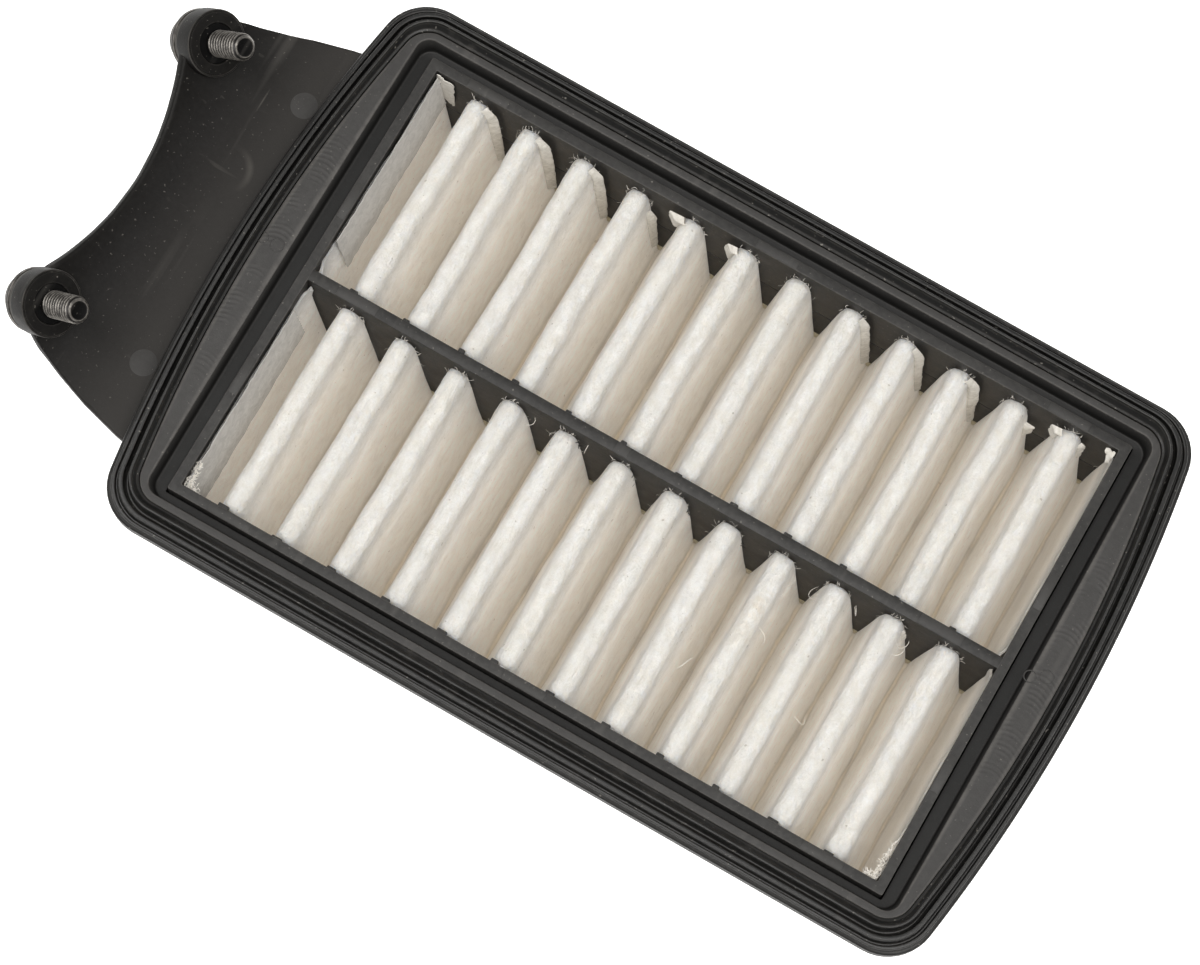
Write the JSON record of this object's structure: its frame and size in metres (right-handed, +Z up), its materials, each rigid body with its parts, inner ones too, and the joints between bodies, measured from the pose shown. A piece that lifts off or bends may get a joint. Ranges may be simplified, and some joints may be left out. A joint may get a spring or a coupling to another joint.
{
  "type": "motorcycle air filter",
  "caption": "Panel air filter: pleated media banks in a moulded frame with a lipped rubber seal, and a curved bracket with captive tilted bolts on one short side.",
  "frame": {"origin": "bottom centre of the whole part's box, on the plane of the box's foot", "axes": "+X along the panel, away from the bracket; +Y across the pleat banks, towards the left bank; +Z up, the way the pleats' open side and the sealing lips face"},
  "size_m": [0.2424, 0.1336, 0.0541],
  "materials": {
    "frame_plastic": "satin, moulded",
    "cassette_plastic": "satin, moulded",
    "seal_rubber": "matt",
    "media": "needled non-woven",
    "adhesive": "hot-melt, cloudy",
    "grid_plastic": "satin, moulded",
    "bolt_steel": "black zinc",
    "washer_steel": "zinc",
    "sleeve_steel": "zinc",
    "ring_plastic": "matt",
    "face_rubber": "matt"
  },
  "bodies": {
    "filter": {"carrier_frame": "frame_plastic", "cassette_frame": "cassette_plastic", "seal_gasket": "seal_rubber", "pleats_left_bank": "media", "pleats_right_bank": "media", "bond_bead_left": "adhesive", "bond_bead_right": "adhesive", "stay_strand_left": "adhesive", "stay_strand_right": "adhesive", "rear_grid": "grid_plastic", "sleeve_left": "sleeve_steel", "sleeve_right": "sleeve_steel", "face_seal_left": "face_rubber", "face_seal_right": "face_rubber"},
    "float_left": {"washer_left": "washer_steel"},
    "screw_left": {"bolt_left": "bolt_steel", "captive_ring_left": "ring_plastic"},
    "float_right": {"washer_right": "washer_steel"},
    "screw_right": {"bolt_right": "bolt_steel", "captive_ring_right": "ring_plastic"}
  },
  "joints": [
    {"name": "draw_left", "type": "slide", "parent": "filter", "child": "float_left", "axis": [-0.682, 0, -0.7314], "range_m": [0, 0.0016]},
    {"name": "spin_left", "type": "hinge", "parent": "float_left", "child": "screw_left", "pos_m": [-0.10983, 0.03385, 0.0445], "axis": [0.682, 0, 0.7314], "continuous": true},
    {"name": "draw_right", "type": "slide", "parent": "filter", "child": "float_right", "axis": [-0.682, 0, -0.7314], "range_m": [0, 0.0016]},
    {"name": "spin_right", "type": "hinge", "parent": "float_right", "child": "screw_right", "pos_m": [-0.10983, -0.03385, 0.0445], "axis": [0.682, 0, 0.7314], "continuous": true}
  ]
}
